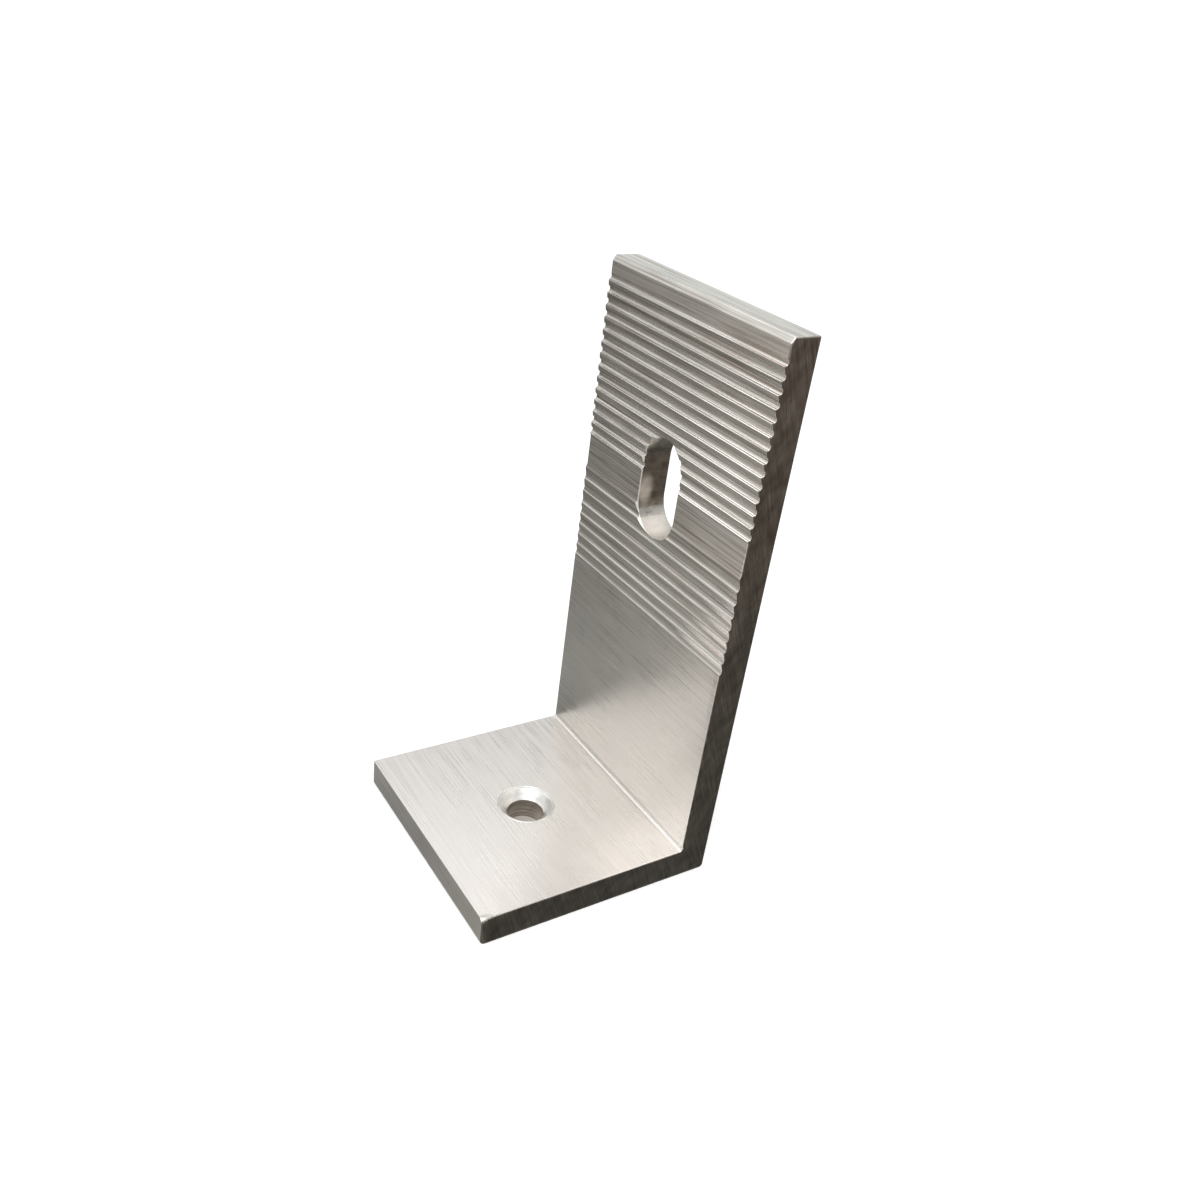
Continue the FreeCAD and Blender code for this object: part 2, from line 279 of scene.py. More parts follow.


# one worked surface, with all its layers of grain, its stains and painted light, its spots of painted light,
# its worn edges with painted highlights and its painted groove shade
def makeFinish(name, groups):
    look = finishes[name]
    material = bpy.data.materials.new(name + "Aluminium")
    material.use_nodes = True
    tree = material.node_tree
    shader = tree.nodes["Principled BSDF"]
    sums = {"tone": 1.0, "rough": look["roughness"], "height": 0.0}

    # adds a pattern to the sums by the amounts that its row names
    def addPattern(value, row):
        for kind in sums:
            if kind in row:
                sums[kind] = calc(tree, "MULTIPLY_ADD", value, row[kind], sums[kind])

    for number, layer in enumerate(look["layers"]):
        turn = [math.radians(angle) for angle in layer["turn"]]
        seed = [number * step for step in patterns["layerSeed"]]
        grain = result(tree, "ShaderNodeGroup", {
            "Size": layer["size"], "Turn": turn, "Detail": layer["detail"], "Seed": seed},
            node_tree=groups["grain"])
        addPattern(grain, layer)
    place = vectorCalc(tree, "SCALE", objectPlace(tree), scale=patterns["inMillimetres"])
    # painted light: each spot lightens the tone around its place, and changes the roughness there
    for spot in look["paintedLightSpots"]:
        away = vectorCalc(tree, "SUBTRACT", place, spot["place"])
        distance = vectorCalc(tree, "LENGTH", vectorCalc(tree, "DIVIDE", away, spot["size"]))
        near = shareOf(tree, distance, *patterns["lightSpotRange"], interpolation_type="SMOOTHSTEP")
        addPattern(near, spot)
    raised = result(tree, "ShaderNodeBump", {"Height": sums["height"], "Strength": 1.0, "Distance": mm})
    worn = addNode(tree, "ShaderNodeGroup", {"Radius": look["edgeRadius"] * mm, "Normal": raised},
                   node_tree=groups["wear"]).outputs
    # edges are lightened, partly for wear and partly as a painted highlight on the crests and rims
    tone = calc(tree, "MULTIPLY_ADD", worn["Mask"], look["edgeWearAndHighlightTone"], sums["tone"])
    # painted shade: places deep in a groove are darkened
    if look["grooveShadeTone"]:
        paintedGrooveShade = result(tree, "ShaderNodeGroup", {"Reach": patterns["grooveShadeReach"]},
                         node_tree=groups["paintedGrooveShade"])
        tone = calc(tree, "MULTIPLY_ADD", paintedGrooveShade, look["grooveShadeTone"], tone)
    color = vectorCalc(tree, "SCALE", look["color"], scale=tone)
    up = partsOf(tree, place)["Z"]
    white = (1.0, 1.0, 1.0)
    for tint in look["stainsAndPaintedLight"]:
        grain = result(tree, "ShaderNodeGroup", {
            "Size": tint["size"], "Detail": patterns["tintDetail"], "Seed": (tint["seed"],) * 3},
            node_tree=groups["grain"])
        amount = shareOf(tree, grain, *tint["spread"])
        share = calc(tree, "MULTIPLY", amount, shareOf(tree, up, *tint["heights"]))
        lost = vectorCalc(tree, "SUBTRACT", white, tint["color"])
        left = vectorCalc(tree, "SUBTRACT", white, vectorCalc(tree, "SCALE", lost, scale=share))
        color = vectorCalc(tree, "MULTIPLY", color, left)
    # the highlight spreads across the lines
    normal = addNode(tree, "ShaderNodeNewGeometry").outputs["Normal"]
    lines = look["lines"] or vectorCalc(tree, "CROSS_PRODUCT", normal, (0.0, 0.0, 1.0))
    across = vectorCalc(tree, "CROSS_PRODUCT", normal, lines)
    inputs = {"Base Color": color, "Roughness": sums["rough"], "Normal": worn["Normal"], "Metallic": 1.0,
              "Anisotropic": look["anisotropic"], "Tangent": across}
    for label, value in inputs.items():
        plug(tree, value, shader.inputs[label])
    return material


def makeMaterials():
    groups = {"grain": makeGrainGroup(), "wear": makeWearAndHighlightGroup(), "paintedGrooveShade": makeGrooveShadeGroup()}
    return {name.capitalize(): makeFinish(name, groups) for name in finishes}


# The clamp: an extruded L whose sawn edges are broken, into which teeth, a slot and a screw hole are cut

# Most sizes go to the sockets of their names. The slot's broken edge grows towards its worn side, which is a
# direction, from where the cosine between that and the way out of the slot is the start.
clampSizes = {
    "uprightThickness": 5.0 * mm,
    "baseThickness": 5.0 * mm,
    "innerCornerRound": 0.45 * mm,
    "heelRound": 0.7 * mm,
    "freeEdgeBottomRound": 0.8 * mm,
    "topSlopeRise": 0.8 * mm,
    "topSlopeRun": 0.55 * mm,
    "topSlopeRound": 0.25 * mm,
    "topBackRound": 0.3 * mm,
    "roundSteps": 10,
    "wornCornerDrop": 0.75 * mm,
    "wornCornerAlongX": 2.4 * mm,
    "wornCornerAlongY": 1.1 * mm,
    "creaseHeight": 5.3 * mm,
    "topStripHeight": 3.6 * mm,
    "topStripRelief": 0.3 * mm,
    "bandGap": 5.66 * mm,
    "gapRelief": 0.2 * mm,
    "reliefRamp": 0.4 * mm,
    "crestLand": 0.08 * mm,
    "grooveSteps": 16,
    "slotWidth": 9.0 * mm,
    "slotLength": 15.2 * mm,
    "slotSteps": 24,
    "slotBrokenEdge": 0.32 * mm,
    "slotEdgeWander": 0.35,
    "slotWanderScale": 420.0,
    "slotWornSide": (-0.64, 0.77, 0.0),
    "slotWornStart": 0.6,
    "slotWornGrowth": 2.2,
    "coneTopRadius": 4.2 * mm,
    "coneAngle": math.radians(76.0),
    "countersinkLipRound": 0.35 * mm,
    "ringScratchRadius": 4.5 * mm,
    "ringScratchThickness": 0.15 * mm,
    "ringScratchAbove": 0.02 * mm,
    "ringScratchSteps": 10,
    "boreSteps": 72,
    "sawnEdgeRound": 0.22 * mm,
    "cutterReach": 1.0 * mm,
    "mergeDistance": 0.002 * mm,
}
# Steps that are built into the trees, and limits that tell surfaces apart. The end shares are parts of the
# width, where an edge or a face counts as a sawn end's.
fineness = {
    "wornStepsAlongX": 8,
    "wornStepsAlongY": 4,
    "lipSteps": 10,
    "sawnEdgeSteps": 3,
    "outlineMerge": 0.004 * mm,
    "seamMerge": 0.0001 * mm,
    "sameHeight": 0.01 * mm,
    "slotRoundShare": 0.9999,
    "endEdgeShare": 0.4999,
    "endFaceShare": 0.49,
    "slantLimit": 0.3,
    "sharpAngle": math.radians(32),
    "flatWeight": 100,
}
# pitch, number of grooves, and a groove's radius, depth, and depth where its straight back starts. The
# crease is a shallow line that runs along the top of the inner corner's rounding.
toothBands = {
    "crease": (0.62 * mm, 1, 0.36 * mm, 0.13 * mm, 0.06 * mm),
    "upper": (1.8 * mm, 14, 0.5 * mm, 0.5 * mm, 0.21 * mm),
    "wide": (2.08 * mm, 3, 0.85 * mm, 0.3 * mm, 0.25 * mm),
    "close": (1.84 * mm, 5, 0.85 * mm, 0.3 * mm, 0.25 * mm),
}

clampWidth = clampHigh.y - clampLow.y
innerFace = clampHigh.x - clampSizes["uprightThickness"]
topCrest = clampHigh.z - clampSizes["topStripHeight"]
upperLow = topCrest - (toothBands["upper"][1] - 1) * toothBands["upper"][0]
lowerTop = upperLow - clampSizes["bandGap"]
wideLow = lowerTop - toothBands["wide"][1] * toothBands["wide"][0]
lowestCrests = {
    "crease": clampSizes["creaseHeight"] - clampSizes["crestLand"],
    "upper": upperLow,
    "wide": wideLow,
    "close": wideLow - toothBands["close"][1] * toothBands["close"][0],
}
slotPlace = Vector(mounts["bolt_slot"]["pos_m"])
holePlace = Vector(mounts["screw_hole"]["pos_m"])
geometrySocket = {"Geometry": "Geometry"}
grooveLabels = ["Lowest Crest", "Pitch", "Count", "Radius", "Depth", "Back Depth"]
slotSockets = dict.fromkeys(
    ["Inner Face", "Back Face", "Slot Side Shift", "Slot Height", "Slot Width", "Slot Length",
     "Slot Broken Edge", "Slot Edge Wander", "Slot Wander Scale", "Slot Worn Start", "Slot Worn Growth",
     "Cutter Reach", "Slot Steps"], "Float")
slotSockets["Slot Worn Side"] = "Vector"
holeSockets = dict.fromkeys(
    ["Hole Place", "Base Thickness", "Bore Radius", "Cone Top Radius", "Cone Angle",
     "Countersink Lip Round", "Ring Scratch Radius", "Ring Scratch Thickness", "Ring Scratch Above",
     "Ring Scratch Steps", "Cutter Reach", "Bore Steps"], "Float")


# an open curve through as many points as it counts, each placed by its index
def curveThrough(tree, count, places):
    line = result(tree, "GeometryNodeMeshLine", {"Count": count})
    placed = result(tree, "GeometryNodeSetPosition", {"Geometry": line, "Position": places})
    return result(tree, "GeometryNodeMeshToCurve", {"Mesh": placed})


def closed(tree, curve):
    return result(tree, "GeometryNodeSetSplineCyclic", {"Geometry": curve, "Cyclic": True})


def circleOf(tree, steps, radius):
    return result(tree, "GeometryNodeCurvePrimitiveCircle", {"Resolution": steps, "Radius": radius})


# picks one of several values by a number that counts them from 0
def pickOf(tree, number, values, dataType):
    switch = addNode(tree, "GeometryNodeIndexSwitch", data_type=dataType)
    for _ in range(len(values) - len(switch.index_switch_items)):
        switch.index_switch_items.new()
    plug(tree, number, switch.inputs["Index"])
    for place, value in enumerate(values, start=1):
        plug(tree, value, switch.inputs[place])
    return switch.outputs[0]


# a closed outline in the plane of X and Y through corners, each rounded by its own radius
def roundedOutline(tree, corners, radii, steps):
    index = result(tree, "GeometryNodeInputIndex")
    curve = closed(tree, curveThrough(tree, len(corners), pickOf(tree, index, corners, "VECTOR")))
    return result(tree, "GeometryNodeFilletCurve", {
        "Curve": curve, "Count": steps, "Radius": pickOf(tree, index, radii, "FLOAT")}, mode="POLY")


# fills an outline and pulls it up in steps into a closed solid; a step may also move its top outwards
def pulledSolid(tree, outline, steps, outwards=None):
    filled = result(tree, "GeometryNodeFillCurve", {"Curve": outline}, mode="NGONS")
    floor = result(tree, "GeometryNodeMergeByDistance", {
        "Geometry": filled, "Distance": fineness["outlineMerge"]})
    shell = floor
    top = True
    for length, widening in steps:
        pull = addNode(tree, "GeometryNodeExtrudeMesh", {
            "Mesh": shell, "Selection": top, "Offset": pointOf(tree, z=length), "Offset Scale": 1.0,
            "Individual": False})
        shell = pull.outputs["Mesh"]
        top = pull.outputs["Top"]
        if outwards is not None:
            offset = vectorCalc(tree, "SCALE", outwards, scale=widening)
            shell = result(tree, "GeometryNodeSetPosition", {
                "Geometry": shell, "Selection": top, "Offset": offset})
    under = result(tree, "GeometryNodeFlipFaces", {"Mesh": floor})
    joined = addNode(tree, "GeometryNodeJoinGeometry")
    plug(tree, shell, joined.inputs[0])
    plug(tree, under, joined.inputs[0])
    return result(tree, "GeometryNodeMergeByDistance", {
        "Geometry": joined.outputs[0], "Distance": fineness["seamMerge"]})


# turns a solid that was pulled along Z, so that its Y becomes the row's Z, and centres it on the width
def stoodUp(tree, solid, width):
    half = calc(tree, "MULTIPLY", width, 0.5)
    return result(tree, "GeometryNodeTransform", {
        "Geometry": solid, "Rotation": (math.pi / 2, 0.0, 0.0), "Translation": pointOf(tree, y=half)})


# the L before anything is cut into it, with the edges of its sawn ends marked for the bevel
def makeBlankTree():
    labels = ["Width", "Free Edge", "Back Face", "Inner Face", "Base Thickness", "Top Edge", "Strip Low",
              "Top Strip Relief", "Gap High", "Gap Low", "Gap Relief", "Relief Ramp", "Inner Corner Round",
              "Heel Round", "Free Edge Bottom Round", "Top Slope Rise", "Top Slope Run", "Top Slope Round",
              "Top Back Round", "Worn Corner Drop", "Worn Corner Along X", "Worn Corner Along Y",
              "Round Steps"]
    tree, size, end = newGroup(
        "angleBlank", "GeometryNodeTree", geometrySocket | dict.fromkeys(labels, "Float"), geometrySocket)
    stripFace = calc(tree, "ADD", size["Inner Face"], size["Top Strip Relief"])
    gapFace = calc(tree, "ADD", size["Inner Face"], size["Gap Relief"])
    gapTop = calc(tree, "SUBTRACT", size["Gap High"], size["Relief Ramp"])
    gapBottom = calc(tree, "ADD", size["Gap Low"], size["Relief Ramp"])
    slopeTop = calc(tree, "ADD", stripFace, size["Top Slope Run"])
    slopeFoot = calc(tree, "SUBTRACT", size["Top Edge"], size["Top Slope Rise"])
    outline = [
        (size["Free Edge"], 0.0, size["Free Edge Bottom Round"]),
        (size["Back Face"], 0.0, size["Heel Round"]),
        (size["Back Face"], size["Top Edge"], size["Top Back Round"]),
        (slopeTop, size["Top Edge"], size["Top Slope Round"]),
        (stripFace, slopeFoot, 0.0),
        (stripFace, size["Strip Low"], 0.0),
        (size["Inner Face"], size["Strip Low"], 0.0),
        (size["Inner Face"], size["Gap High"], 0.0),
        (gapFace, gapTop, 0.0),
        (gapFace, gapBottom, 0.0),
        (size["Inner Face"], size["Gap Low"], 0.0),
        (size["Inner Face"], size["Base Thickness"], size["Inner Corner Round"]),
    ]
    # points on the base's top that the worn corner can bend, down to the sharp free edge
    stepsAlong = fineness["wornStepsAlongX"]
    for step in range(stepsAlong + 1):
        share = 1.0 - step / stepsAlong
        across = calc(tree, "MULTIPLY_ADD", size["Worn Corner Along X"], share, size["Free Edge"])
        outline.append((across, size["Base Thickness"], 0.0))
    corners = [pointOf(tree, across, up) for across, up, radius in outline]
    curve = roundedOutline(tree, corners, [radius for across, up, radius in outline], size["Round Steps"])
    wornPulls = fineness["wornStepsAlongY"]
    pulls = [(calc(tree, "SUBTRACT", size["Width"], size["Worn Corner Along Y"]), 0.0)]
    pulls += [(calc(tree, "DIVIDE", size["Worn Corner Along Y"], float(wornPulls)), 0.0)] * wornPulls
    straight = stoodUp(tree, pulledSolid(tree, curve, pulls), size["Width"])
    # the base's top sinks towards the near corner of its free edge
    spot = partsOf(tree, result(tree, "GeometryNodeInputPosition"))
    nearY = calc(tree, "MULTIPLY", size["Width"], -0.5)
    sink = calc(tree, "MULTIPLY", size["Worn Corner Drop"], -1.0)
    for axis, edge in (("X", size["Free Edge"]), ("Y", nearY)):
        away = calc(tree, "SUBTRACT", spot[axis], edge)
        away = calc(tree, "DIVIDE", away, size[f"Worn Corner Along {axis}"])
        closeness = calc(tree, "MAXIMUM", calc(tree, "SUBTRACT", 1.0, away), 0.0)
        sink = calc(tree, "MULTIPLY", sink, calc(tree, "MULTIPLY", closeness, closeness))
    onTop = calc(tree, "COMPARE", spot["Z"], size["Base Thickness"], fineness["sameHeight"])
    bent = result(tree, "GeometryNodeSetPosition", {
        "Geometry": straight, "Selection": onTop, "Offset": pointOf(tree, z=sink)})
    # an edge of a sawn end has its middle in the plane of that end
    along = calc(tree, "ABSOLUTE", partsOf(tree, result(tree, "GeometryNodeInputPosition"))["Y"])
    nearEnd = calc(tree, "MULTIPLY", size["Width"], fineness["endEdgeShare"])
    marked = addNode(tree, "GeometryNodeStoreNamedAttribute", {
        "Geometry": bent, "Name": "bevel_weight_edge"}, data_type="FLOAT", domain="EDGE")
    plug(tree, calc(tree, "GREATER_THAN", along, nearEnd), marked.inputs["Value"])
    plug(tree, marked.outputs[0], end.inputs[0])
    return tree


# a band of grooves, repeated upwards from its lowest crest. Each is an arc that starts on that crest and
# goes in and partly back, then a straight back that leans out to the next crest.
def makeGrooveTree():
    labels = grooveLabels + ["Inner Face", "Crest Land", "Width", "Groove Steps"]
    tree, size, end = newGroup(
        "toothGrooves", "GeometryNodeTree", dict.fromkeys(labels, "Float"), geometrySocket)
    steps = size["Groove Steps"]
    setback = calc(tree, "SUBTRACT", size["Radius"], size["Depth"])
    backStart = calc(tree, "ADD", setback, size["Back Depth"])
    first = calc(tree, "ARCSINE", calc(tree, "DIVIDE", setback, size["Radius"]))
    last = calc(tree, "ARCSINE", calc(tree, "DIVIDE", backStart, size["Radius"]))
    last = calc(tree, "SUBTRACT", math.pi, last)
    middle = calc(tree, "MULTIPLY", size["Radius"], calc(tree, "COSINE", first))
    index = result(tree, "GeometryNodeInputIndex")
    share = calc(tree, "DIVIDE", index, calc(tree, "SUBTRACT", steps, 1.0))
    turn = blendOf(tree, share, first, last)
    across = calc(tree, "MULTIPLY", size["Radius"], calc(tree, "SINE", turn))
    across = calc(tree, "SUBTRACT", across, setback)
    up = calc(tree, "MULTIPLY", size["Radius"], calc(tree, "COSINE", turn))
    up = calc(tree, "SUBTRACT", middle, up)
    # the first point sinks by the land, so that the crest's upper edge is broken
    isFirst = calc(tree, "LESS_THAN", index, 0.5)
    up = calc(tree, "SUBTRACT", up, calc(tree, "MULTIPLY", isFirst, size["Crest Land"]))
    outside = calc(tree, "MULTIPLY", size["Depth"], -1.0)
    high = calc(tree, "SUBTRACT", size["Pitch"], size["Crest Land"])
    low = calc(tree, "MULTIPLY", size["Crest Land"], -1.0)
    corners = [pointOf(tree, 0.0, high), pointOf(tree, outside, high), pointOf(tree, outside, low)]
    corner = pickOf(tree, calc(tree, "SUBTRACT", index, steps), corners, "VECTOR")
    isCorner = calc(tree, "GREATER_THAN", index, calc(tree, "SUBTRACT", steps, 0.5))
    chosen = result(tree, "GeometryNodeSwitch", {
        "Switch": isCorner, "False": pointOf(tree, across, up), "True": corner}, input_type="VECTOR")
    count = calc(tree, "ADD", steps, float(len(corners)))
    outline = closed(tree, curveThrough(tree, count, chosen))
    groove = stoodUp(tree, pulledSolid(tree, outline, [(size["Width"], 0.0)]), size["Width"])
    lowest = calc(tree, "ADD", size["Lowest Crest"], size["Crest Land"])
    row = result(tree, "GeometryNodeMeshLine", {
        "Count": size["Count"], "Start Location": pointOf(tree, size["Inner Face"], 0.0, lowest),
        "Offset": pointOf(tree, z=size["Pitch"])})
    copies = result(tree, "GeometryNodeInstanceOnPoints", {"Points": row, "Instance": groove})
    plug(tree, result(tree, "GeometryNodeRealizeInstances", {"Geometry": copies}), end.inputs[0])
    return tree


# the bolt slot, which widens at its mouth where its edge is broken
def makeSlotTree():
    tree, size, end = newGroup("boltSlot", "GeometryNodeTree", slotSockets, geometrySocket)
    halfWide = calc(tree, "MULTIPLY", size["Slot Width"], 0.5)
    halfLong = calc(tree, "MULTIPLY", size["Slot Length"], 0.5)
    left = calc(tree, "MULTIPLY", halfWide, -1.0)
    low = calc(tree, "MULTIPLY", halfLong, -1.0)
    corners = [pointOf(tree, left, low), pointOf(tree, halfWide, low),
               pointOf(tree, halfWide, halfLong), pointOf(tree, left, halfLong)]
    endRound = calc(tree, "MULTIPLY", halfWide, fineness["slotRoundShare"])
    curve = roundedOutline(tree, corners, [endRound] * len(corners), size["Slot Steps"])
    # the way out from the middle line of the slot to a point of its outline
    place = result(tree, "GeometryNodeInputPosition")
    split = partsOf(tree, place)
    straightHalf = calc(tree, "SUBTRACT", halfLong, halfWide)
    nearest = calc(tree, "MINIMUM", split["Y"], straightHalf)
    nearest = calc(tree, "MAXIMUM", nearest, calc(tree, "MULTIPLY", straightHalf, -1.0))
    away = pointOf(tree, split["X"], calc(tree, "SUBTRACT", split["Y"], nearest))
    outwards = vectorCalc(tree, "NORMALIZE", away)
    # the widening wanders a little along the outline
    rough = result(tree, "ShaderNodeTexNoise", {
        "Vector": place, "Scale": size["Slot Wander Scale"], "Detail": 1.0})
    wander = calc(tree, "MULTIPLY", calc(tree, "SUBTRACT", rough, 0.5), 2.0)
    wander = calc(tree, "MULTIPLY_ADD", wander, size["Slot Edge Wander"], 1.0)
    # and more towards its worn side
    towards = vectorCalc(tree, "DOT_PRODUCT", outwards, size["Slot Worn Side"])
    towards = calc(tree, "MAXIMUM", calc(tree, "SUBTRACT", towards, size["Slot Worn Start"]), 0.0)
    wander = calc(tree, "MULTIPLY_ADD", towards, size["Slot Worn Growth"], wander)
    outwards = vectorCalc(tree, "SCALE", outwards, scale=wander)
    thickness = calc(tree, "SUBTRACT", size["Back Face"], size["Inner Face"])
    straight = calc(tree, "ADD", thickness, size["Cutter Reach"])
    straight = calc(tree, "SUBTRACT", straight, size["Slot Broken Edge"])
    # the widening goes on past the face at the same slope
    mouth = calc(tree, "ADD", size["Slot Broken Edge"], size["Cutter Reach"])
    solid = pulledSolid(tree, curve, [(straight, 0.0), (mouth, mouth)], outwards)
    # the outline's X becomes the row's -Y, its Y stays up as Z, and its pull runs towards -X
    start = calc(tree, "ADD", size["Back Face"], size["Cutter Reach"])
    turned = result(tree, "GeometryNodeTransform", {
        "Geometry": solid, "Rotation": (math.pi / 2, 0.0, -math.pi / 2),
        "Translation": pointOf(tree, start, size["Slot Side Shift"], size["Slot Height"])})
    plug(tree, turned, end.inputs[0])
    return tree


# the countersunk hole: a straight line along its axis, drawn out by the radius of the bore, cone and lip
def makeHoleTree():
    tree, size, end = newGroup("screwHole", "GeometryNodeTree", holeSockets,
                               geometrySocket | {"Ring": "Geometry"})
    top = size["Base Thickness"]
    lip = size["Countersink Lip Round"]
    # the bore takes the first two points, then comes the lip, and the last point stands above it
    firstLip = 2
    lastLip = firstLip + fineness["lipSteps"]
    index = result(tree, "GeometryNodeInputIndex")
    coneWidens = calc(tree, "SUBTRACT", size["Cone Top Radius"], size["Bore Radius"])
    slope = calc(tree, "MULTIPLY_ADD", size["Cone Angle"], -0.5, math.pi / 2)
    coneDepth = calc(tree, "MULTIPLY", coneWidens, calc(tree, "TANGENT", slope))
    coneBottom = calc(tree, "SUBTRACT", top, coneDepth)
    # the lip turns from the cone's slope to level
    share = calc(tree, "SUBTRACT", float(lastLip), index)
    share = calc(tree, "DIVIDE", share, float(fineness["lipSteps"]))
    share = calc(tree, "MINIMUM", calc(tree, "MAXIMUM", share, 0.0), 1.0)
    turn = calc(tree, "MULTIPLY", share, slope)
    tangent = calc(tree, "MULTIPLY", lip, calc(tree, "TANGENT", calc(tree, "MULTIPLY", slope, 0.5)))
    lipCentre = calc(tree, "ADD", size["Cone Top Radius"], tangent)
    lipRadius = calc(tree, "SUBTRACT", lipCentre, calc(tree, "MULTIPLY", lip, calc(tree, "SINE", turn)))
    lipFoot = calc(tree, "SUBTRACT", top, lip)
    lipHeight = calc(tree, "MULTIPLY_ADD", lip, calc(tree, "COSINE", turn), lipFoot)
    isLast = calc(tree, "GREATER_THAN", index, lastLip + 0.5)
    lipHeight = calc(tree, "MULTIPLY_ADD", isLast, size["Cutter Reach"], lipHeight)
    isFirst = calc(tree, "LESS_THAN", index, 0.5)
    inBore = calc(tree, "LESS_THAN", index, firstLip - 0.5)
    below = calc(tree, "MULTIPLY", size["Cutter Reach"], -1.0)
    height = blendOf(tree, inBore, lipHeight, blendOf(tree, isFirst, coneBottom, below))
    radius = blendOf(tree, inBore, lipRadius, size["Bore Radius"])
    axis = curveThrough(tree, lastLip + 2, pointOf(tree, size["Hole Place"], 0.0, height))
    solid = result(tree, "GeometryNodeCurveToMesh", {
        "Curve": axis, "Profile Curve": circleOf(tree, size["Bore Steps"], 1.0), "Scale": radius,
        "Fill Caps": True})
    # a tool left a fine ring around the lip
    wire = circleOf(tree, size["Ring Scratch Steps"], size["Ring Scratch Thickness"])
    scratch = result(tree, "GeometryNodeCurveToMesh", {
        "Curve": circleOf(tree, size["Bore Steps"], size["Ring Scratch Radius"]), "Profile Curve": wire})
    high = calc(tree, "ADD", top, size["Ring Scratch Above"])
    ring = result(tree, "GeometryNodeTransform", {
        "Geometry": scratch, "Translation": pointOf(tree, size["Hole Place"], 0.0, high)})
    plug(tree, solid, end.inputs["Geometry"])
    plug(tree, ring, end.inputs["Ring"])
    return tree


# cuts the grooves, the slot and the hole, and gives each worked surface its material
def makeCutTree(groups):
    labels = ["Width", "Crest Land", "Groove Steps", "Merge Distance"]
    labels += [f"{band} {label}" for band in toothBands for label in grooveLabels]
    sockets = geometrySocket | slotSockets | holeSockets | dict.fromkeys(labels, "Float")
    sockets |= dict.fromkeys(["Brushed", "Sawn", "Milled", "Drilled"], "Material")
    tree, size, end = newGroup("clampCuts", "GeometryNodeTree", sockets, geometrySocket)
    shared = {label: size[label] for label in ("Inner Face", "Crest Land", "Groove Steps")}
    shared["Width"] = calc(tree, "MULTIPLY_ADD", size["Cutter Reach"], 2.0, size["Width"])
    cutters = []
    for band in toothBands:
        own = {label: size[f"{band} {label}"] for label in grooveLabels}
        grooves = result(tree, "GeometryNodeGroup", shared | own, node_tree=groups["groove"])
        cutters.append((grooves, "Brushed"))
    slot = result(tree, "GeometryNodeGroup", {label: size[label] for label in slotSockets},
                  node_tree=groups["slot"])
    hole = addNode(tree, "GeometryNodeGroup", {label: size[label] for label in holeSockets},
                   node_tree=groups["hole"]).outputs
    cutters += [(slot, "Milled"), (hole["Geometry"], "Drilled"), (hole["Ring"], "Drilled")]

    # gives a geometry, or a part of it, the material of a socket
    def covered(geometry, label, selection=True):
        return result(tree, "GeometryNodeSetMaterial", {
            "Geometry": geometry, "Selection": selection, "Material": size[label]})

    # the blank and the cutters carry their materials, so each cut face takes its cutter's
    cut = addNode(tree, "GeometryNodeMeshBoolean", {"Mesh 1": covered(size["Geometry"], "Brushed")},
                  operation="DIFFERENCE", solver="EXACT")
    for cutter, label in cutters:
        worked = covered(cutter, label)
        if label == "Milled":
            # its broken edge is bare metal, like the countersink
            widening = partsOf(tree, result(tree, "GeometryNodeInputNormal"))["X"]
            slanting = calc(tree, "GREATER_THAN", widening, fineness["slantLimit"])
            worked = covered(worked, "Drilled", slanting)
        plug(tree, worked, cut.inputs["Mesh 2"])
    clean = result(tree, "GeometryNodeMergeByDistance", {
        "Geometry": cut.outputs["Mesh"], "Distance": size["Merge Distance"]})
    real = result(tree, "GeometryNodeRealizeInstances", {"Geometry": clean})
    # the sawn ends are the faces that look along the extrusion at either end of it
    along = calc(tree, "ABSOLUTE", partsOf(tree, result(tree, "GeometryNodeInputPosition"))["Y"])
    facing = calc(tree, "ABSOLUTE", partsOf(tree, result(tree, "GeometryNodeInputNormal"))["Y"])
    looksOut = calc(tree, "GREATER_THAN", facing, fineness["slantLimit"])
    nearEnd = calc(tree, "MULTIPLY", size["Width"], fineness["endFaceShare"])
    atEnd = calc(tree, "GREATER_THAN", along, nearEnd)
    plug(tree, covered(real, "Sawn", calc(tree, "MULTIPLY", looksOut, atEnd)), end.inputs[0])
    return tree


# the name of a size's socket: "heelRound" becomes "Heel Round"
def socketName(name):
    return "".join(" " + letter if letter.isupper() else letter for letter in name).title()


# adds a geometry tree to an object and gives each of its inputs the value of that name
def addTree(target, tree, values):
    modifier = target.modifiers.new(tree.name, "NODES")
    modifier.node_group = tree
    for item in tree.interface.items_tree:
        if item.in_out == "INPUT" and item.name != "Geometry":
            modifier[item.identifier] = values[item.name]


